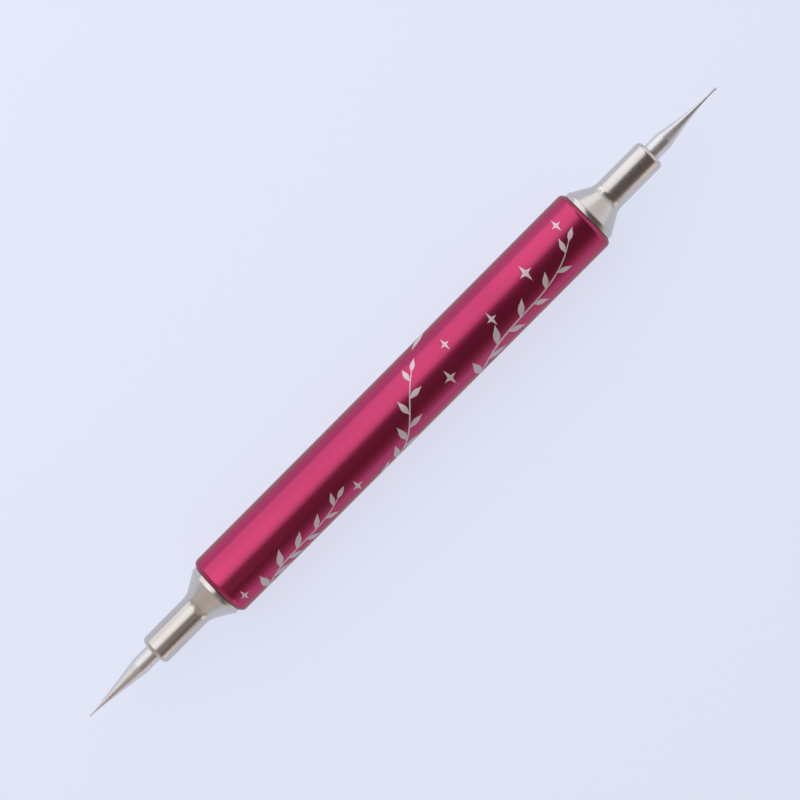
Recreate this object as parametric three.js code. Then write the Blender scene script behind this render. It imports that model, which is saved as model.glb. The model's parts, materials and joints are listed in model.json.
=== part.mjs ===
// A double-ended dotting tool, for nail art and other fine dot and line work.
// A light tube is the handle. A plated head screws into each end of it: one holds a stylus with a tiny
// ball, the other a stylus with a needle point.
// Millimetres, Z up. The tool lies along X on the plane z = 0, with its ball end towards +X, and the
// origin is under the middle of the handle.

import * as THREE from 'three';

// Every round piece is turned with this many flats, and each flat lies at the true radius
const SIDES = 40;
const ARC_STEPS = 5;
const TAPER_STEPS = 7;

// Clearances
const PRESS_GAP = 0.05;
const SEAT_GAP = 0.05;
const TURNING_GAP = 0.1;

// Barrel: a drawn tube with rounded ends
const BARREL_LENGTH = 74.7;
const BARREL_RADIUS = 5.0;
const BARREL_WALL = 1.0;
const BARREL_EDGE_ROUND = 0.85;
const BARREL_EDGE_SHARE_OF_WALL = 0.85;

// Thread bush: pressed into each end of the barrel, open right through
const BUSH_WALL = 0.65;
const BUSH_RUNOUT = 2.0;
const BUSH_MOUTH_CHAMFER = 0.25;

// Screw thread between bush and ferrule, drawn here by its core and its outside
const THREAD_PITCH = 0.75;
const THREAD_TURNS = 8;
const THREAD_DEPTH = 0.4;
const SPIGOT_CHAMFER = 0.4;

// Trim ring: a bright lip held between barrel and ferrule
const RING_THICKNESS = 0.7;
const RING_STEP_IN = 0.65;
const RING_CHAMFER = 0.12;

// Ferrule: a cone that runs into a straight sleeve through a hollow fillet
const CONE_STEP_IN = 0.12;
const CONE_HALF_ANGLE = THREE.MathUtils.degToRad(30);
const CONE_FILLET = 2.5;
const SLEEVE_RADIUS = 2.43;
const SLEEVE_LENGTH = 9.05;
const NOSE_ROUND = 0.7;
const NOSE_ROUND_SHARE_OF_WALL = 0.7;

// Styli: a rod pressed into the sleeve, with a hollow taper and a slender neck in front
const ROD_RADIUS = 1.38;
const ROD_SEAT_DEPTH = 11.0;
const ROD_END_CHAMFER = 0.3;

const BALL_END = {
  name: 'ball_end',
  direction: 1,
  rodLength: 2.6,
  taperLength: 8.95,
  taperMidRadius: 0.57,
  neckLength: 1.5,
  neckRadius: 0.17,
  tipRadius: 0.25,
};

const NEEDLE_END = {
  name: 'needle_end',
  direction: -1,
  rodLength: 2.8,
  taperLength: 9.05,
  taperMidRadius: 0.72,
  neckLength: 1.2,
  neckRadius: 0.15,
  tipRadius: 0.12,
};

// Sizes that follow from the ones above. In a head, heights are measured outwards from the barrel's end
const BARREL_BORE = BARREL_RADIUS - BARREL_WALL;
const BUSH_RADIUS = BARREL_BORE - PRESS_GAP;
const BUSH_BORE = BUSH_RADIUS - BUSH_WALL;
const THREAD_RADIUS = BUSH_BORE - TURNING_GAP;
const THREAD_CORE = THREAD_RADIUS - THREAD_DEPTH;
const THREAD_LENGTH = THREAD_PITCH * THREAD_TURNS;
const RING_RADIUS = BARREL_RADIUS - RING_STEP_IN;
const RING_BORE = THREAD_RADIUS + TURNING_GAP;
const SHOULDER = SEAT_GAP + RING_THICKNESS + SEAT_GAP;
const CONE_BASE = RING_RADIUS - CONE_STEP_IN;
const CONE_END = SHOULDER + (CONE_BASE - SLEEVE_RADIUS) / Math.tan(CONE_HALF_ANGLE);
const NOSE = CONE_END + SLEEVE_LENGTH;
const SLEEVE_BORE = ROD_RADIUS + PRESS_GAP;

const FINISHES = {
  anodised: { color: 0xa8184c, roughness: 0.3, metalness: 1.0 },
  brass: { color: 0xb79a54, roughness: 0.35, metalness: 1.0 },
  nickel: { color: 0xcbc3b8, roughness: 0.12, metalness: 1.0 },
  steel: { color: 0xb4b5b8, roughness: 0.2, metalness: 1.0 },
};

// A piece turned about its own Y axis from an outline of [radius, height] points
function turned(name, finish, outline) {
  const toCorner = 1 / Math.cos(Math.PI / SIDES);
  const points = outline.map(([radius, height]) => new THREE.Vector2(radius * toCorner, height));
  const geometry = new THREE.LatheGeometry(points, SIDES, Math.PI / SIDES);
  const mesh = new THREE.Mesh(geometry, new THREE.MeshStandardMaterial(FINISHES[finish]));
  mesh.name = name;
  return mesh;
}

// Outline points on an arc about [radius, height], both ends included
function arc([radius, height], size, from, to, steps = ARC_STEPS) {
  return Array.from({ length: steps + 1 }, (_, step) => {
    const angle = from + ((to - from) * step) / steps;
    return [radius + size * Math.cos(angle), height + size * Math.sin(angle)];
  });
}

// An outline that goes round a bore closes on its first point
function closed(outline) {
  return [...outline, outline[0]];
}

function barrel() {
  const half = BARREL_LENGTH / 2;
  const round = Math.min(BARREL_EDGE_ROUND, BARREL_WALL * BARREL_EDGE_SHARE_OF_WALL);
  const edge = BARREL_RADIUS - round;
  const outline = closed([
    [BARREL_BORE, -half],
    ...arc([edge, round - half], round, -Math.PI / 2, 0),
    ...arc([edge, half - round], round, 0, Math.PI / 2),
    [BARREL_BORE, half],
  ]);
  const mesh = turned('barrel', 'anodised', outline);
  mesh.rotation.z = -Math.PI / 2;
  mesh.position.z = BARREL_RADIUS;
  return mesh;
}

function threadBush(end) {
  const inner = -(THREAD_LENGTH + BUSH_RUNOUT);
  return turned(`${end.name}_thread_bush`, 'brass', closed([
    [BUSH_BORE, inner],
    [BUSH_RADIUS, inner],
    [BUSH_RADIUS, 0],
    [BUSH_BORE + BUSH_MOUTH_CHAMFER, 0],
    [BUSH_BORE, -BUSH_MOUTH_CHAMFER],
  ]));
}

function trimRing(end) {
  const back = SEAT_GAP;
  const front = back + RING_THICKNESS;
  return turned(`${end.name}_trim_ring`, 'nickel', closed([
    [RING_BORE, back],
    [RING_RADIUS - RING_CHAMFER, back],
    [RING_RADIUS, back + RING_CHAMFER],
    [RING_RADIUS, front - RING_CHAMFER],
    [RING_RADIUS - RING_CHAMFER, front],
    [RING_BORE, front],
  ]));
}

function ferrule(end) {
  const filletReach = CONE_FILLET * Math.tan(CONE_HALF_ANGLE / 2);
  const filletCentre = [SLEEVE_RADIUS + CONE_FILLET, CONE_END + filletReach];
  const round = Math.min(NOSE_ROUND, (SLEEVE_RADIUS - SLEEVE_BORE) * NOSE_ROUND_SHARE_OF_WALL);
  const boreBottom = NOSE - ROD_SEAT_DEPTH - SEAT_GAP;
  return turned(`${end.name}_ferrule`, 'nickel', [
    // threaded spigot, then a plain neck inside the trim ring
    [0, -THREAD_LENGTH],
    [THREAD_CORE - SPIGOT_CHAMFER, -THREAD_LENGTH],
    [THREAD_CORE, SPIGOT_CHAMFER - THREAD_LENGTH],
    [THREAD_CORE, 0],
    [THREAD_RADIUS, 0],
    [THREAD_RADIUS, SHOULDER],
    // cone, fillet and sleeve
    [CONE_BASE, SHOULDER],
    ...arc(filletCentre, CONE_FILLET, Math.PI + CONE_HALF_ANGLE, Math.PI),
    ...arc([SLEEVE_RADIUS - round, NOSE - round], round, 0, Math.PI / 2),
    // blind bore for the stylus
    [SLEEVE_BORE, NOSE],
    [SLEEVE_BORE, boreBottom],
    [0, boreBottom],
  ]);
}

// The taper narrows along a parabola from the rod, through its radius half way, to the neck. The neck runs
// on to the tip: a ball that is wider than the neck, or a point that is finer
function stylus(end) {
  const { rodLength, taperLength, taperMidRadius, neckLength, neckRadius, tipRadius } = end;
  const seat = NOSE - ROD_SEAT_DEPTH;
  const taperStart = NOSE + rodLength;
  const taperEnd = taperStart + taperLength;
  const tip = taperEnd + neckLength;
  const tipCentre = tip - tipRadius;
  const neckAngle = -Math.acos(Math.min(1, neckRadius / tipRadius));
  const bend = 2 * taperMidRadius - (ROD_RADIUS + neckRadius) / 2;
  const taper = Array.from({ length: TAPER_STEPS }, (_, step) => {
    const t = step / TAPER_STEPS;
    const radius = (1 - t) ** 2 * ROD_RADIUS + 2 * t * (1 - t) * bend + t ** 2 * neckRadius;
    return [radius, taperStart + t * taperLength];
  });
  const tipArc = arc([0, tipCentre], tipRadius, neckAngle, Math.PI / 2);
  return turned(`${end.name}_stylus`, 'steel', [
    [0, seat],
    [ROD_RADIUS - ROD_END_CHAMFER, seat],
    [ROD_RADIUS, seat + ROD_END_CHAMFER],
    ...taper,
    [neckRadius, taperEnd],
    ...tipArc.slice(0, -1),
    [0, tip],
  ]);
}

// All that sits at one end of the barrel, built upwards from the barrel's end and then laid along X
function headOf(end) {
  const head = new THREE.Group();
  head.add(threadBush(end), trimRing(end), ferrule(end), stylus(end));
  head.position.set((end.direction * BARREL_LENGTH) / 2, 0, BARREL_RADIUS);
  head.rotation.z = (-end.direction * Math.PI) / 2;
  return head;
}

const dottingTool = new THREE.Group();
dottingTool.add(barrel(), headOf(BALL_END), headOf(NEEDLE_END));

export default dottingTool;
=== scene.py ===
# %% [markdown]
# # A double-ended dotting tool
# Nail artists set dots and draw hair lines with this tool. Its handle is a thin aluminium tube, dyed magenta
# when it was anodised. A bright plated head screws into each end. One head holds a steel stylus with a tiny
# ball, the other holds one with a needle point.
#
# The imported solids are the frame: they say where every piece is, how big it is and what moves. They are
# faceted, so each of them is stood for here by a round piece of the same size with a real finish.

# %% Load the frame
import json
import math

import bmesh
import bpy
from mathutils import Matrix, Vector
from mathutils.geometry import interpolate_bezier


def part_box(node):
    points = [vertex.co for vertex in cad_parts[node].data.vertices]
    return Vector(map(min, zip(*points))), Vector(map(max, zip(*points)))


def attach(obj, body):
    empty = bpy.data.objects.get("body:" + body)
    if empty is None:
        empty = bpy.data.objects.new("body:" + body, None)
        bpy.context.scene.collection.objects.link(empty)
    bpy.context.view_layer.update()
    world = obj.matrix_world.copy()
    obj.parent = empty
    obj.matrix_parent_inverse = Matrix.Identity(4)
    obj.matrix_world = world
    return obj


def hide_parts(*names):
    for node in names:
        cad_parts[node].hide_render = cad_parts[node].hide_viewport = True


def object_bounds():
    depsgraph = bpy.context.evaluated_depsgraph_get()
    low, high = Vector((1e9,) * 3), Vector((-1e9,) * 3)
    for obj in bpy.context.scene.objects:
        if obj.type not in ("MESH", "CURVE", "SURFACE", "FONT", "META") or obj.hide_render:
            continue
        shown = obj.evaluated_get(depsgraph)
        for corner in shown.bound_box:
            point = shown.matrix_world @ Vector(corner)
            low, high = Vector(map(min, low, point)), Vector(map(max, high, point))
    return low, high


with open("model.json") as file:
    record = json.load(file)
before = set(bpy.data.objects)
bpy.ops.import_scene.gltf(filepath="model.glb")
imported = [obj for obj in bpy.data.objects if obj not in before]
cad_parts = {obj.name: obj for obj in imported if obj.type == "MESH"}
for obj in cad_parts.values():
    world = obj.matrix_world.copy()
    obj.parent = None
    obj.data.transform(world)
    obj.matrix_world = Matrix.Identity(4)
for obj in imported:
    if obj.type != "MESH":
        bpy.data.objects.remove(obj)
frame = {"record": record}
cad_low, cad_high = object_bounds()

MM = 0.001
barrel_low, barrel_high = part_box("barrel")
BARREL_END = barrel_high.x
BARREL_RADIUS = (barrel_high.z - barrel_low.z) / 2
AXIS = Vector((0, 0, barrel_low.z + BARREL_RADIUS))
TOOL_LENGTH = cad_high.x - cad_low.x
print(f"tool {TOOL_LENGTH / MM:.1f} mm long, barrel {2 * BARREL_END / MM:.1f} mm long")

# %% [markdown]
# ## Camera
# The photograph looks down on the tool, which runs from the lower left corner to the upper right one. The
# two tips marked in the picture give the scale, the turn and the middle of the view. The rim of the barrel
# bulges a little at the needle end and hardly at the ball end, which tells how far away the lens was and how
# far it stood towards the ball end. A perspective camera with a long lens shows that, and an orthographic
# one couldn't.

# %% Camera
IMAGE_PIXELS = 800
NEEDLE_TIP_PIXEL = Vector((88.5, 717.7))
BALL_TIP_PIXEL = Vector((715.1, 88.7))
EYE = Vector((25 * MM, 0, 640 * MM))

tip_to_tip = BALL_TIP_PIXEL - NEEDLE_TIP_PIXEL
pixel_size = TOOL_LENGTH / tip_to_tip.length
slope = math.atan2(-tip_to_tip.y, tip_to_tip.x)
image_middle = Vector((IMAGE_PIXELS / 2, IMAGE_PIXELS / 2))
off_centre = (NEEDLE_TIP_PIXEL + BALL_TIP_PIXEL) / 2 - image_middle

back = EYE.normalized()
along_tool = (Vector((1, 0, 0)) - back * back.x).normalized()
across_tool = back.cross(along_tool)
right = along_tool * math.cos(slope) - across_tool * math.sin(slope)
up = along_tool * math.sin(slope) + across_tool * math.cos(slope)
aim = AXIS - (right * off_centre.x - up * off_centre.y) * pixel_size

camera = bpy.data.objects.new("camera", bpy.data.cameras.new("camera"))
bpy.context.scene.collection.objects.link(camera)
bpy.context.scene.camera = camera
camera.data.lens = camera.data.sensor_width * EYE.length / (IMAGE_PIXELS * pixel_size)
camera.matrix_world = Matrix.Translation(aim + EYE) @ Matrix((right, up, back)).transposed().to_4x4()
print(f"lens {camera.data.lens:.0f} mm, view {IMAGE_PIXELS * pixel_size / MM:.1f} mm wide")

# %% [markdown]
# ## Shader nodes
# A material in Blender is a small graph. Built step by step, every node takes three or four lines, so one
# helper makes a node, sets its options, and fills its sockets with values or with links from other nodes. A
# second helper sets the stops of a colour ramp.

# %% Node helpers
def add_node(tree, kind, inputs=None, **options):
    """Adds a shader node. Sockets go by name, or by number where names repeat, and take values or outputs."""
    node = tree.nodes.new("ShaderNode" + kind)
    for option, value in options.items():
        setattr(node, option, value)
    for key, value in (inputs or {}).items():
        socket = node.inputs[key]
        if isinstance(value, bpy.types.NodeSocket):
            tree.links.new(value, socket)
        else:
            socket.default_value = value
    return node


def set_ramp(ramp, places, colours):
    """Gives a colour ramp one stop for each place."""
    while len(ramp.elements) < len(places):
        ramp.elements.new(1)
    for stop, place, colour in zip(ramp.elements, places, colours):
        stop.position = place
        stop.color = (*colour, 1)


# %% [markdown]
# ## Floor
# The tool lies on a plain pale sheet. In the picture the sheet is an even lavender, brighter than this soft
# light makes it, so a glow is added for rays from the lens and for reflections. The sheet stays a matt
# surface for all other light, and keeps the soft shadow that sets the tool down on it.

# %% Floor
SHEET_COLOUR = (0.20, 0.207, 0.233, 1)
GLOW_COLOUR = (0.623, 0.656, 0.777, 1)
SHEET_REACH = 2.0

sheet_finish = bpy.data.materials.new("pale_sheet")
sheet_finish.use_nodes = True
tree = sheet_finish.node_tree
tree.nodes.remove(tree.nodes["Principled BSDF"])
ray = add_node(tree, "LightPath").outputs
glossy_or_through = add_node(
    tree, "Math", {0: ray["Is Glossy Ray"], 1: ray["Is Transmission Ray"]}, operation="MAXIMUM"
)
seen = add_node(
    tree, "Math", {0: ray["Is Camera Ray"], 1: glossy_or_through.outputs[0]}, operation="MAXIMUM"
)
matt = add_node(tree, "BsdfDiffuse", {"Color": SHEET_COLOUR})
glow = add_node(tree, "Emission", {"Color": GLOW_COLOUR, "Strength": seen.outputs[0]})
both = add_node(tree, "AddShader", {0: matt.outputs[0], 1: glow.outputs[0]})
tree.links.new(both.outputs[0], tree.nodes["Material Output"].inputs["Surface"])

bm = bmesh.new()
bmesh.ops.create_grid(bm, x_segments=1, y_segments=1, size=SHEET_REACH)
sheet_mesh = bpy.data.meshes.new("pale_sheet")
bm.to_mesh(sheet_mesh)
bm.free()
sheet_mesh.materials.append(sheet_finish)
sheet = bpy.data.objects.new("pale_sheet", sheet_mesh)
bpy.context.scene.collection.objects.link(sheet)
print(f"sheet {2 * SHEET_REACH:.0f} m square")

# %% [markdown]
# ## Soft panels
# Polished metal shows the room more than its own colour, so the light is planned from what the pieces
# mirror. A soft panel overhead, on the picture's left, makes the broad bright band along the tool, and its
# straight edge makes the line where the band ends. A side panel carries that light down towards the floor.
# Three fills beyond the ends light the cones.
#
# Three small strips stand low beside the heads, as white cards would in a studio, and give the sleeves and
# rods a light edge. They show in gloss only, because so near the floor they would leave a pool of light.

# %% Soft panels
COOL = (0.96, 0.98, 1.04)
WARM = (1.0, 0.86, 0.77)
WHITE = (0.97, 0.97, 1.0)
BLUISH = (0.90, 0.95, 1.0)
ROSY = (1.0, 0.78, 0.71)

PANELS = {
    "main_panel": {
        "azimuth": 137, "from_overhead": 0, "distance": 0.24, "size": (0.53, 0.24),
        "radiance": 1.24, "colour": COOL, "shift": (-0.215, -0.146),
    },
    "side_panel": {
        "azimuth": 137, "from_overhead": 69.5, "distance": 0.333, "size": (0.95, 0.193),
        "radiance": 1.02, "colour": COOL, "shift": (-0.525, 0.035),
    },
    "needle_end_fill": {
        "azimuth": 180, "from_overhead": 45, "distance": 0.70, "size": (1.4, 1.0),
        "radiance": 0.36, "colour": WARM,
    },
    "ball_end_fill": {
        "azimuth": 0, "from_overhead": 66, "distance": 0.70, "size": (1.6, 0.80),
        "radiance": 0.60, "colour": WHITE,
    },
    "ball_side_fill": {
        "azimuth": 50, "from_overhead": 76, "distance": 0.70, "size": (0.8, 0.60),
        "radiance": 0.45, "colour": BLUISH,
    },
    "needle_end_strip": {
        "azimuth": 270, "from_overhead": 78, "distance": 0.1, "size": (0.040, 0.042),
        "radiance": 1.0, "colour": ROSY, "shift": (-0.076, 0), "gloss_only": True,
    },
    "ball_end_strip": {
        "azimuth": 270, "from_overhead": 78, "distance": 0.1, "size": (0.040, 0.042),
        "radiance": 0.82, "colour": ROSY, "shift": (0.067, 0), "gloss_only": True,
    },
    "ball_back_strip": {
        "azimuth": 90, "from_overhead": 86, "distance": 0.1, "size": (0.040, 0.018),
        "radiance": 0.75, "colour": COOL, "shift": (-0.066, 0), "gloss_only": True,
    },
}


def soft_panel(
    name, azimuth, from_overhead, distance, size, radiance, colour, shift=(0, 0), gloss_only=False
):
    """An area lamp that faces the tool. Its azimuth counts from the ball end towards +Y, in degrees, and its
    radiance is the brightness that a perfect mirror shows. Shift moves it in its own plane, in metres."""
    width, height = size
    lamp = bpy.data.lights.new(name, "AREA")
    lamp.shape = "RECTANGLE"
    lamp.size = width
    lamp.size_y = height
    lamp.energy = radiance * math.pi * width * height
    lamp.color = colour
    panel = bpy.data.objects.new(name, lamp)
    bpy.context.scene.collection.objects.link(panel)
    turn = Matrix.Rotation(math.radians(azimuth + 90), 4, "Z")
    tilt = Matrix.Rotation(math.radians(from_overhead), 4, "X")
    panel.matrix_world = Matrix.Translation(AXIS) @ turn @ tilt @ Matrix.Translation((*shift, distance))
    panel.visible_camera = False
    panel.visible_diffuse = not gloss_only
    print(f"{name}: {lamp.energy:.3f} W")


for name, settings in PANELS.items():
    soft_panel(name, **settings)

# %% [markdown]
# ## Room
# The rest of the room is dim. A colour ramp on the height of each ray makes it pale near the horizon and
# dark overhead, which is softer than a single grey and costs no lamp.

# %% Room
SKY_HEIGHTS = (0.0, 0.25, 0.5, 0.75)
SKY_COLOURS = ((0.50, 0.50, 0.54), (0.36, 0.33, 0.33), (0.20, 0.17, 0.16), (0.11, 0.09, 0.085))

room = bpy.data.worlds.new("room")
room.use_nodes = True
bpy.context.scene.world = room
tree = room.node_tree
way = add_node(tree, "TexCoord").outputs["Generated"]
height = add_node(tree, "SeparateXYZ", {"Vector": way}).outputs["Z"]
sky = add_node(tree, "ValToRGB", {"Fac": height})
set_ramp(sky.color_ramp, SKY_HEIGHTS, SKY_COLOURS)
tree.links.new(sky.outputs["Color"], tree.nodes["Background"].inputs["Color"])
bpy.context.scene.view_settings.view_transform = "Standard"
print(f"room: {len(SKY_HEIGHTS)} shades from the horizon up")

# %% [markdown]
# ## Metal
# Every metal here was drawn, turned or ground, and each of those leaves fine lines. The lines come from noise
# that is squeezed one way and stretched the other. They change the gloss a little and raise the surface by a
# micron at most. A second, slow noise lets the colour drift between two close shades, because real plating
# and dye are never quite even. Both read the object's own coordinates, so the marks stay with the piece as
# it moves.

# %% Metal maker
DRIFT_PER_METRE = 70
DRIFT_DETAIL = 3
LINE_DETAIL = 2
SHADE_EDGES = (0.3, 0.7)


def new_metal(name, shades, gloss, lines_per_metre, line_height):
    """A metal with drifting shades, a range of roughness, and tool lines counted along X, Y and Z."""
    material = bpy.data.materials.new(name)
    material.use_nodes = True
    tree = material.node_tree
    metal = tree.nodes["Principled BSDF"]
    metal.inputs["Metallic"].default_value = 1
    place = add_node(tree, "TexCoord").outputs["Object"]

    drift = add_node(tree, "TexNoise", {"Vector": place, "Scale": DRIFT_PER_METRE, "Detail": DRIFT_DETAIL})
    shade = add_node(tree, "ValToRGB", {"Fac": drift.outputs["Fac"]}, name="shade")
    set_ramp(shade.color_ramp, SHADE_EDGES, shades)
    tree.links.new(shade.outputs["Color"], metal.inputs["Base Color"])

    stretch = add_node(tree, "Mapping", {"Vector": place, "Scale": lines_per_metre}).outputs[0]
    lines = add_node(tree, "TexNoise", {"Vector": stretch, "Scale": 1, "Detail": LINE_DETAIL}).outputs["Fac"]
    smooth, rough = gloss
    roughness = add_node(tree, "MapRange", {"Value": lines, "To Min": smooth, "To Max": rough})
    tree.links.new(roughness.outputs["Result"], metal.inputs["Roughness"])
    relief = add_node(tree, "Bump", {"Height": lines, "Strength": 1, "Distance": line_height})
    tree.links.new(relief.outputs["Normal"], metal.inputs["Normal"])
    print(f"{name}: roughness {smooth} to {rough}")
    return material


# %% [markdown]
# ## Plated, ground and bare metals
# The ferrules and lip rings are brass under nickel with a soft polish, a little warm beside steel. Their
# lines run round them, so the noise is squeezed along the tool. The styli are ground steel, cooler and less
# glossy. The bushes hidden in the barrel are bare brass.

# %% Nickel, steel and brass
nickel = new_metal(
    "bright_nickel",
    shades=((0.55, 0.52, 0.485), (0.61, 0.58, 0.545)),
    gloss=(0.20, 0.31),
    lines_per_metre=(9000, 160, 160),
    line_height=4e-7,
)
steel = new_metal(
    "ground_steel",
    shades=((0.64, 0.635, 0.63), (0.71, 0.705, 0.70)),
    gloss=(0.32, 0.46),
    lines_per_metre=(7000, 250, 250),
    line_height=6e-7,
)
brass = new_metal(
    "bare_brass",
    shades=((0.44, 0.29, 0.08), (0.52, 0.36, 0.12)),
    gloss=(0.22, 0.36),
    lines_per_metre=(6000, 300, 300),
    line_height=1e-6,
)

# %% [markdown]
# ## Anodised aluminium
# Anodising grows a clear oxide on the aluminium, takes up dye and is sealed, so the colour is metal seen
# through a thin glassy skin. The Principled shader's coat is that skin: it adds the plain white gloss that
# greys the colour along the edges. The specular tint darkens the metal under it at the same edges, where
# light takes a longer way through the dye. The tube was drawn, so its lines run lengthways.

# %% Anodised aluminium
EDGE_TINT = (0.32, 0.08, 0.15, 1)
SKIN_WEIGHT = 0.8
SKIN_ROUGHNESS = 0.24

magenta = new_metal(
    "magenta_anodised",
    shades=((0.44, 0.013, 0.100), (0.50, 0.019, 0.114)),
    gloss=(0.25, 0.33),
    lines_per_metre=(60, 6000, 6000),
    line_height=8e-7,
)
tree = magenta.node_tree
dyed = tree.nodes["Principled BSDF"]
dyed.inputs["Specular Tint"].default_value = EDGE_TINT
dyed.inputs["Coat Weight"].default_value = SKIN_WEIGHT
dyed.inputs["Coat Roughness"].default_value = SKIN_ROUGHNESS

# %% [markdown]
# ## Painted shade at the rims
# The colour is painted darker towards both rims, in small patches: a painted shade where the barrel
# meets the lip rings. The distance from the middle of the barrel finds both rims at once.

# %% Painted shade at the rims
# The rim colour below is painted shade, mixed in patch by patch over the last part of each rim.
RIM_SHADE_REACH = 0.9 * MM
RIM_SHADE_FULL = RIM_SHADE_REACH / 3
RIM_SHADE_COLOUR = (0.34, 0.008, 0.075, 1)
SHADE_PATCHES_PER_METRE = 900
PATCH_DETAIL = 3
LEAST_SHADED = 0.6

place = add_node(tree, "TexCoord").outputs["Object"]
along = add_node(tree, "SeparateXYZ", {"Vector": place}).outputs["X"]
from_middle = add_node(tree, "Math", {0: along}, operation="ABSOLUTE").outputs[0]
near_rim = add_node(
    tree,
    "MapRange",
    {"Value": from_middle, "From Min": BARREL_END - RIM_SHADE_REACH, "From Max": BARREL_END - RIM_SHADE_FULL},
).outputs["Result"]
shade_patches = add_node(tree, "TexNoise", {"Vector": place, "Scale": SHADE_PATCHES_PER_METRE, "Detail": PATCH_DETAIL})
shade_strength = add_node(
    tree, "MapRange", {"Value": shade_patches.outputs["Fac"], "To Min": LEAST_SHADED, "To Max": 1}
).outputs["Result"]
rim_shade = add_node(tree, "Math", {0: near_rim, 1: shade_strength}, operation="MULTIPLY").outputs[0]
even_shade = tree.nodes["shade"].outputs["Color"]
# Painted shade: the dark rim colour is mixed into the even shade of the metal near the rims.
shaded_colour = add_node(tree, "MixRGB", {"Fac": rim_shade, "Color1": even_shade, "Color2": RIM_SHADE_COLOUR})
tree.links.new(shaded_colour.outputs["Color"], dyed.inputs["Base Color"])
# Prints how far the painted rim shade reaches.
print(f"deeper dye over the last {RIM_SHADE_REACH / MM:.1f} mm")

# %% [markdown]
# ## Turned pieces
# Every piece of this tool was made on a lathe, so each one is an outline spun round the axis. The outline
# needs only its corners. A corner with a radius is rounded with a vertex bevel while it is still a wire,
# which is easier than bevelling the finished ring. Spin leaves a seam and piles up points on the axis, so
# doubles are merged before the normals are set right. Weighted normals keep the long straight faces free of
# the rounds' shading.

# %% Lathe
ROUND_STEPS = 6
WELD = 1e-4 * MM
SHARP_EDGE = math.radians(35)


def draw_outline(bm, corners, closed=False):
    """Draws an outline above the axis at the ball end, from corners in mm. A corner says how far out of the
    barrel it is, its radius from the axis, and its rounding."""
    points = [bm.verts.new((BARREL_END + out * MM, 0, AXIS.z + radius * MM)) for out, radius, _ in corners]
    for here, there in zip(points, points[1:]):
        bm.edges.new((here, there))
    if closed:
        bm.edges.new((points[-1], points[0]))
    for point, (_, _, rounding) in zip(points, corners):
        if rounding:
            arms = [edge.other_vert(point).co - point.co for edge in point.link_edges]
            reach = rounding * MM / math.tan(arms[0].angle(arms[1]) / 2)
            bmesh.ops.bevel(
                bm,
                geom=[point],
                offset=reach,
                affect="VERTICES",
                segments=ROUND_STEPS,
                profile=0.5,
                material=-1,
            )


def spin_outline(bm, steps):
    """Spins a wire outline all the way round the axis into a closed surface."""
    wire = bm.verts[:] + bm.edges[:]
    bmesh.ops.spin(bm, geom=wire, cent=AXIS, axis=(1, 0, 0), angle=2 * math.pi, steps=steps, use_merge=True)
    bmesh.ops.remove_doubles(bm, verts=bm.verts[:], dist=WELD)
    bmesh.ops.recalc_face_normals(bm, faces=bm.faces[:])


def add_piece(bm, name, finish, body):
    """Makes the finished mesh a piece that rides on a body of the frame."""
    mesh = bpy.data.meshes.new(name)
    bm.to_mesh(mesh)
    bm.free()
    mesh.shade_smooth()
    mesh.set_sharp_from_angle(angle=SHARP_EDGE)
    mesh.materials.append(finish)
    piece = bpy.data.objects.new(name, mesh)
    bpy.context.scene.collection.objects.link(piece)
    even_shading = piece.modifiers.new("even_shading", "WEIGHTED_NORMAL")
    even_shading.keep_sharp = True
    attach(piece, body)
    print(f"{name}: {len(mesh.polygons)} faces on {body}")
    return piece


def stand_for(node):
    """Hides the solid, so that the piece is shown in its place."""
    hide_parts(node)


# %% [markdown]
# ## Barrel
# The handle is a drawn tube, open right through, with softly rounded ends. Four corners are enough for its
# outline. It is a hair thinner than its solid, so that the raised print on it stays inside the tool's true
# size.

# %% Barrel
PRINT_ROOM = 0.025
BARREL_BORE = 4.0
RIM_ROUND = 0.85
BORE_EDGE = 0.1
BARREL_STEPS = 160

skin = BARREL_RADIUS / MM - PRINT_ROOM
far_end = -2 * BARREL_END / MM
bm = bmesh.new()
draw_outline(
    bm,
    [
        (far_end, BARREL_BORE, BORE_EDGE),
        (far_end, skin, RIM_ROUND),
        (0, skin, RIM_ROUND),
        (0, BARREL_BORE, BORE_EDGE),
    ],
    closed=True,
)
spin_outline(bm, BARREL_STEPS)
barrel = add_piece(bm, "barrel_tube", magenta, "handle")
stand_for("barrel")

# %% [markdown]
# ## Screw thread
# Each head screws into its bush on a fine thread, which shows when the head is backed out. A thread is one
# ridge wound along a helix, and spin makes that too when each step also moves along the axis. The pitch is
# read from the frame, where it ties the head's turn to its travel, so ridge and groove keep step over the
# whole range. The ridge sinks into the metal at both ends, as a cut thread runs out.

# %% Thread maker
turns_per_metre = frame["record"]["behaviour"]["couplings"][0]["ratio"] / (2 * math.pi)
PITCH = 1 / turns_per_metre / MM
FLANK = math.radians(30)
CREST_FLAT = 0.1
RIDGE_STEPS = 48
RUN_OUT_TURNS = 0.6


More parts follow.
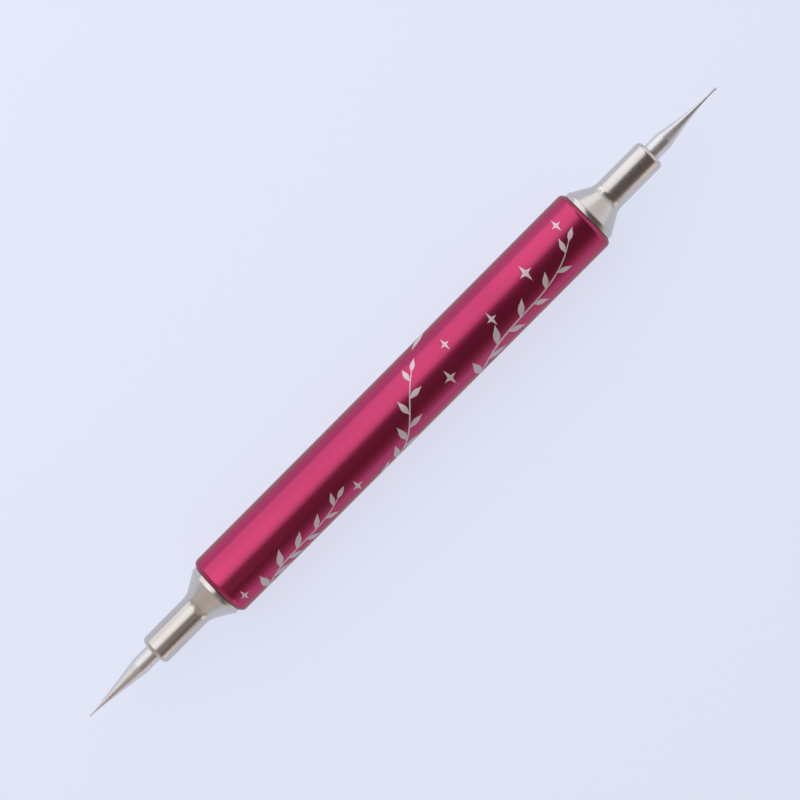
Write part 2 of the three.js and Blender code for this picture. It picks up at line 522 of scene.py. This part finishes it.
def thread_ridge(bm, start, turns, root, crest):
    """A ridge from the root radius to the crest radius, wound outwards from start, in mm."""
    half_crest = CREST_FLAT / 2
    half_root = half_crest + abs(crest - root) * math.tan(FLANK)
    section = ((-half_root, root), (-half_crest, crest), (half_crest, crest), (half_root, root))
    first = BARREL_END + start * MM
    corners = [bm.verts.new((first + x * MM, 0, AXIS.z + radius * MM)) for x, radius in section]
    face = bm.faces.new(corners)
    bmesh.ops.spin(
        bm,
        geom=[face, *face.edges, *face.verts],
        cent=AXIS,
        axis=(1, 0, 0),
        dvec=(PITCH * MM / RIDGE_STEPS, 0, 0),
        angle=2 * math.pi * turns,
        steps=RIDGE_STEPS * turns,
    )
    for point in bm.verts:
        turned = (point.co.x - first) / (PITCH * MM)
        share = max(0, min(1, turned / RUN_OUT_TURNS, (turns - turned) / RUN_OUT_TURNS))
        arm = Vector((0, point.co.y, point.co.z - AXIS.z))
        kept = root * MM + (arm.length - root * MM) * share
        point.co += arm.normalized() * (kept - arm.length)
    bmesh.ops.recalc_face_normals(bm, faces=bm.faces[:])


def join_into(bm, extra):
    """Adds another bmesh to this one."""
    carrier = bpy.data.meshes.new("carrier")
    extra.to_mesh(carrier)
    extra.free()
    bm.from_mesh(carrier)
    bpy.data.meshes.remove(carrier)


print(f"thread pitch {PITCH:.2f} mm")

# %% [markdown]
# ## Two ends
# Both heads are drawn at the ball end. The needle end's pieces are swung half a turn about the upright, not
# mirrored, because a mirrored thread would be left-handed.

# %% Swing to the other end
ENDS = ("ball_end", "needle_end")


def reach_of(node):
    """How far out of the barrel a piece starts and ends, and its radius, in mm."""
    low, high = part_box(node)
    near, far = sorted((abs(low.x), abs(high.x)))
    return (near - BARREL_END) / MM, (far - BARREL_END) / MM, (high.z - low.z) / 2 / MM


def swing_to(bm, end):
    """Leaves a ball-end piece where it was drawn, and turns a needle-end piece round to its own end."""
    if end == "needle_end":
        half_turn = Matrix.Rotation(math.pi, 3, "Z")
        bmesh.ops.rotate(bm, verts=bm.verts[:], cent=(0, 0, 0), matrix=half_turn)


# %% [markdown]
# ## Thread bushes
# A wall of one millimetre is too thin to cut a thread in, so a brass bush is pressed into each end of the
# barrel. Its ridge points inwards, half a pitch away from the ridge of the head.

# %% Thread bushes
BUSH_LENGTH = 8.0
BUSH_RADIUS = 3.95
BUSH_BORE = 3.3
MOUTH_CHAMFER = 0.25
HEAD_THREAD_START = -5.5
HEAD_THREAD_TURNS = 7
BUSH_THREAD_TURNS = 8
BUSH_LEAD_TURNS = 2
BUSH_THREAD_CREST = 2.93
SUNK_ROOT = 0.05
HEAD_STEPS = 96

for end in ENDS:
    bm = bmesh.new()
    draw_outline(
        bm,
        [
            (-BUSH_LENGTH, BUSH_BORE, 0),
            (-BUSH_LENGTH, BUSH_RADIUS, 0),
            (0, BUSH_RADIUS, 0),
            (0, BUSH_BORE + MOUTH_CHAMFER, 0),
            (-MOUTH_CHAMFER, BUSH_BORE, 0),
        ],
        closed=True,
    )
    spin_outline(bm, HEAD_STEPS)
    ridge = bmesh.new()
    bush_thread_start = HEAD_THREAD_START + PITCH / 2 - BUSH_LEAD_TURNS * PITCH
    thread_ridge(ridge, bush_thread_start, BUSH_THREAD_TURNS, BUSH_BORE + SUNK_ROOT, BUSH_THREAD_CREST)
    join_into(bm, ridge)
    swing_to(bm, end)
    bush = add_piece(bm, f"{end}_bush_turned", brass, "handle")
    stand_for(f"{end}_thread_bush")

# %% [markdown]
# ## Lip rings
# A thin bright ring sits between the barrel and each ferrule and hides the joint. Its edge is straight with
# small rounds, so it catches one clear line of light. The screwed head clamps it, so the ring is drawn a
# little longer each way than its solid, which has room to move.

# %% Lip rings
RING_CLAMPED = 0.04
RING_BACK_EDGE = 0.04
RING_ROUND = 0.08

for end in ENDS:
    near, far, ring_radius = reach_of(f"{end}_trim_ring")
    near -= RING_CLAMPED
    far += RING_CLAMPED
    bm = bmesh.new()
    draw_outline(
        bm,
        [
            (near, BUSH_BORE, 0),
            (near, ring_radius, RING_BACK_EDGE),
            (far, ring_radius, RING_ROUND),
            (far, BUSH_BORE, 0),
        ],
        closed=True,
    )
    spin_outline(bm, HEAD_STEPS)
    swing_to(bm, end)
    ring = add_piece(bm, f"{end}_ring_turned", nickel, f"{end}_ring")
    stand_for(f"{end}_trim_ring")

# %% [markdown]
# ## Ferrules
# The ferrule is the bright nose: a cone that flows into a straight sleeve through a hollow fillet. Behind the
# cone a plain neck passes through the lip ring, and a threaded spigot goes into the bush. The outline starts
# and ends on the axis, with a blind bore from the front for the stylus.

# %% Ferrules
SPIGOT_LENGTH = 6.0
SPIGOT_CHAMFER = 0.4
THREAD_CORE = 2.8
HEAD_THREAD_CREST = 3.17
NECK_RADIUS = 3.2
SLEEVE_RADIUS = 2.43
SLEEVE_LENGTH = 9.05
CONE_EDGE = 0.03
CONE_FILLET = 2.5
NOSE_ROUND = 0.7
PRESS_GAP = 0.05
SEAT_GAP = 0.05
BORE_MOUTH = 0.06

for end in ENDS:
    _, ring_front, _ = reach_of(f"{end}_trim_ring")
    rod_seat, _, rod_radius = reach_of(f"{end}_stylus")
    _, nose, cone_base = reach_of(f"{end}_ferrule")
    shoulder = ring_front + SEAT_GAP
    bore = rod_radius + PRESS_GAP
    bore_bottom = rod_seat - SEAT_GAP
    bm = bmesh.new()
    draw_outline(
        bm,
        [
            (-SPIGOT_LENGTH, 0, 0),
            (-SPIGOT_LENGTH, THREAD_CORE - SPIGOT_CHAMFER, 0),
            (-SPIGOT_LENGTH + SPIGOT_CHAMFER, THREAD_CORE, 0),
            (0, THREAD_CORE, 0),
            (0, NECK_RADIUS, 0),
            (shoulder, NECK_RADIUS, 0),
            (shoulder, cone_base, CONE_EDGE),
            (nose - SLEEVE_LENGTH, SLEEVE_RADIUS, CONE_FILLET),
            (nose, SLEEVE_RADIUS, NOSE_ROUND),
            (nose, bore, BORE_MOUTH),
            (bore_bottom, bore, 0),
            (bore_bottom, 0, 0),
        ],
    )
    spin_outline(bm, HEAD_STEPS)
    ridge = bmesh.new()
    thread_ridge(ridge, HEAD_THREAD_START, HEAD_THREAD_TURNS, THREAD_CORE - SUNK_ROOT, HEAD_THREAD_CREST)
    join_into(bm, ridge)
    swing_to(bm, end)
    ferrule = add_piece(bm, f"{end}_ferrule_turned", nickel, f"{end}_head")
    stand_for(f"{end}_ferrule")

# %% [markdown]
# ## Styli
# A stylus is a steel rod, pressed into the sleeve and ground to a hollow taper with a slender neck. One ends
# in a ball of half a millimetre, the other in a point. The taper is a parabola, which a Bezier curve follows
# exactly when its handles reach two thirds of the way to the bend. The tip is a single point of the outline
# spun about the middle of the ball, so the outline needs no list of numbers.

# %% Styli
ROD_END_CHAMFER = 0.3
TAPER_STEPS = 24
TIP_STEPS = 10
STYLUS_STEPS = 64
HANDLE_SHARE = 2 / 3
STYLI = {
    "ball_end": {"rod": 2.6, "taper_middle": 0.57, "neck_length": 1.5, "neck": 0.17, "tip": 0.25},
    "needle_end": {"rod": 2.8, "taper_middle": 0.72, "neck_length": 1.2, "neck": 0.15, "tip": 0.12},
}

for end, size in STYLI.items():
    seat, tip, rod_radius = reach_of(f"{end}_stylus")
    _, nose, _ = reach_of(f"{end}_ferrule")
    neck = size["neck"]
    ball = size["tip"]
    taper_start = Vector((nose + size["rod"], rod_radius, 0))
    taper_end = Vector((tip - size["neck_length"], neck, 0))
    bend = (taper_start + taper_end) / 2
    bend.y = 2 * size["taper_middle"] - (rod_radius + neck) / 2
    taper = interpolate_bezier(
        taper_start,
        taper_start.lerp(bend, HANDLE_SHARE),
        taper_end.lerp(bend, HANDLE_SHARE),
        taper_end,
        TAPER_STEPS,
    )
    neck_turn = math.acos(min(1, neck / ball))
    ball_start = Vector((tip - ball - ball * math.sin(neck_turn), ball * math.cos(neck_turn), 0))
    bm = bmesh.new()
    draw_outline(
        bm,
        [
            (seat, 0, 0),
            (seat, rod_radius - ROD_END_CHAMFER, 0),
            (seat + ROD_END_CHAMFER, rod_radius, 0),
            *taper,
            ball_start,
        ],
    )
    bm.verts.ensure_lookup_table()
    bmesh.ops.spin(
        bm,
        geom=[bm.verts[-1]],
        cent=(BARREL_END + (tip - ball) * MM, 0, AXIS.z),
        axis=(0, 1, 0),
        angle=neck_turn + math.pi / 2,
        steps=TIP_STEPS,
    )
    spin_outline(bm, STYLUS_STEPS)
    swing_to(bm, end)
    stylus = add_piece(bm, f"{end}_stylus_ground", steel, f"{end}_head")
    stand_for(f"{end}_stylus")

# %% [markdown]
# ## Print
# A fine silver print decorates the barrel: leafy sprays with small sparkles between them. Screen ink stands
# up to two hundredths of a millimetre proud of the metal, so it is modelled and not painted. Each stroke is a
# spline whose points have their own thickness, which a curve object turns into a solid by itself.

# %% Strokes
STROKE_UNIT = 0.5 * MM
print_curve = bpy.data.curves.new("barrel_print", "CURVE")
print_curve.dimensions = "3D"
print_curve.bevel_depth = STROKE_UNIT
print_curve.bevel_resolution = 1
print_curve.use_fill_caps = True


def stroke(points, widths, steps):
    """A stroke through (along, around) points in mm, with a width in mm at each."""
    spline = print_curve.splines.new("BEZIER")
    spline.resolution_u = steps
    spline.radius_interpolation = "CARDINAL"
    spline.bezier_points.add(len(points) - 1)
    for knot, point, width in zip(spline.bezier_points, points, widths):
        knot.co = (point[0] * MM, point[1] * MM, 0)
        knot.radius = width
        knot.handle_left_type = "AUTO"
        knot.handle_right_type = "AUTO"


# %% [markdown]
# ## Sprays and sparkles
# A spray is a stem that thins towards its tip, with leaves on both sides in turn. A leaf is a stroke that
# swells in the middle, and a sparkle is two crossed slivers. The design is drawn flat, as on a printing
# screen, and its mirror image goes half way round the barrel.

# %% Sprays and sparkles
STEM_WIDTHS = (0.42, 0.16)
STEM_STEPS = 3
LEAF_LENGTHS = (3.8, 2.2)
LEAF_WIDTH_SHARE = 0.34
LEAF_BELLY_SHARE = 0.45
LEAF_TIP_WIDTH = 0.06
LEAF_ANGLE = math.radians(42)
LEAF_STEPS = 6
LEAVES = 9
SPARKLE_LENGTH_SHARE = 0.7
SPARKLE_WIDTH_SHARE = 0.2
SPARKLE_STEPS = 5
SPRAYS = (
    ((-32.5, 7.6), (-28.5, 2.6), (-22.5, 6.4), (-16.0, 3.4)),
    ((-10.5, 8.4), (-4.0, 8.2), (-2.0, 3.0), (4.2, -2.2)),
    ((10.0, 8.0), (16.0, 0.6), (24.5, 6.4), (33.0, 0.6)),
)
SPARKLES = (
    (-12.6, 4.4, 2.6),
    (7.6, 2.4, 3.0),
    (10.4, -1.6, 2.0),
    (17.6, 0.6, 2.4),
    (25.6, -0.6, 3.0),
    (33.4, -2.4, 2.2),
    (-35.0, 3.8, 2.2),
)


def leaf(base, way, length):
    """A leaf from its base, pointing one way."""
    belly = base + way * length * LEAF_BELLY_SHARE
    widths = (LEAF_TIP_WIDTH, length * LEAF_WIDTH_SHARE, LEAF_TIP_WIDTH)
    stroke((base, belly, base + way * length), widths, LEAF_STEPS)


def spray(controls):
    """A stem along a Bezier curve, with leaves to both sides and one at its tip."""
    stem = interpolate_bezier(*[Vector((*point, 0)) for point in controls], 2 * LEAVES + 1)
    shares = [step / (len(stem) - 1) for step in range(len(stem))]
    thick, thin = STEM_WIDTHS
    stroke(stem, [thick + (thin - thick) * share for share in shares], STEM_STEPS)
    first, last = LEAF_LENGTHS
    for number in range(LEAVES):
        middle = 2 * number + 1
        way = (stem[middle + 1] - stem[middle - 1]).normalized()
        side = 1 if number % 2 else -1
        length = first + (last - first) * shares[middle]
        leaf(stem[middle], Matrix.Rotation(side * LEAF_ANGLE, 3, "Z") @ way, length)
    leaf(stem[-1], (stem[-1] - stem[-2]).normalized(), last)


def sparkle(along, around, size):
    """Two crossed slivers, the one along the barrel shorter."""
    middle = Vector((along, around, 0))
    widths = (LEAF_TIP_WIDTH, size * SPARKLE_WIDTH_SHARE, LEAF_TIP_WIDTH)
    for way, length in ((Vector((1, 0, 0)), size * SPARKLE_LENGTH_SHARE), (Vector((0, 1, 0)), size)):
        arm = way * length / 2
        stroke((middle - arm, middle, middle + arm), widths, SPARKLE_STEPS)


half_way_round = math.pi * skin
for side, offset in ((1, 0), (-1, half_way_round)):
    for controls in SPRAYS:
        spray([(side * along, around + offset) for along, around in controls])
    for along, around, size in SPARKLES:
        sparkle(side * along, around + offset, size)
print(f"print: {len(print_curve.splines)} strokes")

# %% [markdown]
# ## Silver ink
# The ink is white with fine metal flake. It is more matt than the barrel, so it stays pale where the metal
# mirrors the dark room. A fine grain breaks its colour and its surface.

# %% Ink finish
INK_METAL_SHARE = 0.25
INK_SHADES = ((0.62, 0.52, 0.55), (0.85, 0.77, 0.80))
INK_GLOSS = (0.3, 0.5)
FLAKES_PER_METRE = 14000
FLAKE_DETAIL = 2
FLAKE_HEIGHT = 2e-6

ink = bpy.data.materials.new("silver_ink")
ink.use_nodes = True
tree = ink.node_tree
ink_shader = tree.nodes["Principled BSDF"]
ink_shader.inputs["Metallic"].default_value = INK_METAL_SHARE
place = add_node(tree, "TexCoord").outputs["Object"]
flake = add_node(
    tree, "TexNoise", {"Vector": place, "Scale": FLAKES_PER_METRE, "Detail": FLAKE_DETAIL}
).outputs["Fac"]
tint = add_node(tree, "ValToRGB", {"Fac": flake})
set_ramp(tint.color_ramp, SHADE_EDGES, INK_SHADES)
tree.links.new(tint.outputs["Color"], ink_shader.inputs["Base Color"])
smooth, rough = INK_GLOSS
gloss = add_node(tree, "MapRange", {"Value": flake, "To Min": smooth, "To Max": rough})
tree.links.new(gloss.outputs["Result"], ink_shader.inputs["Roughness"])
grain = add_node(tree, "Bump", {"Height": flake, "Distance": FLAKE_HEIGHT})
tree.links.new(grain.outputs["Normal"], ink_shader.inputs["Normal"])
print(f"silver ink: roughness {smooth} to {rough}")

# %% [markdown]
# ## Wrap
# The curve becomes a mesh first, because only a mesh can be bent point by point. Each point keeps its place
# along the barrel, its place around becomes an angle, and its height is pressed almost flat.

# %% Wrap the print round the barrel
INK_FLATNESS = 0.035

flat_print = bpy.data.objects.new("flat_print", print_curve)
flat_mesh = bpy.data.meshes.new_from_object(flat_print)
bm = bmesh.new()
bm.from_mesh(flat_mesh)
bpy.data.objects.remove(flat_print)
bpy.data.meshes.remove(flat_mesh)
for point in bm.verts:
    along, around, height = point.co
    angle = around / (skin * MM)
    arm = skin * MM + height * INK_FLATNESS
    point.co = AXIS + Vector((along, -arm * math.sin(angle), arm * math.cos(angle)))
bmesh.ops.remove_doubles(bm, verts=bm.verts[:], dist=WELD)
bmesh.ops.recalc_face_normals(bm, faces=bm.faces[:])
add_piece(bm, "barrel_print", ink, "handle")

# %% [markdown]
# ## Size
# The box of the solids is printed. The pieces may not reach outside the solids. The last call checks that
# every piece rides on a body and that no solid was moved.

# %% Size of the solids
print("cad box", cad_low, cad_high)
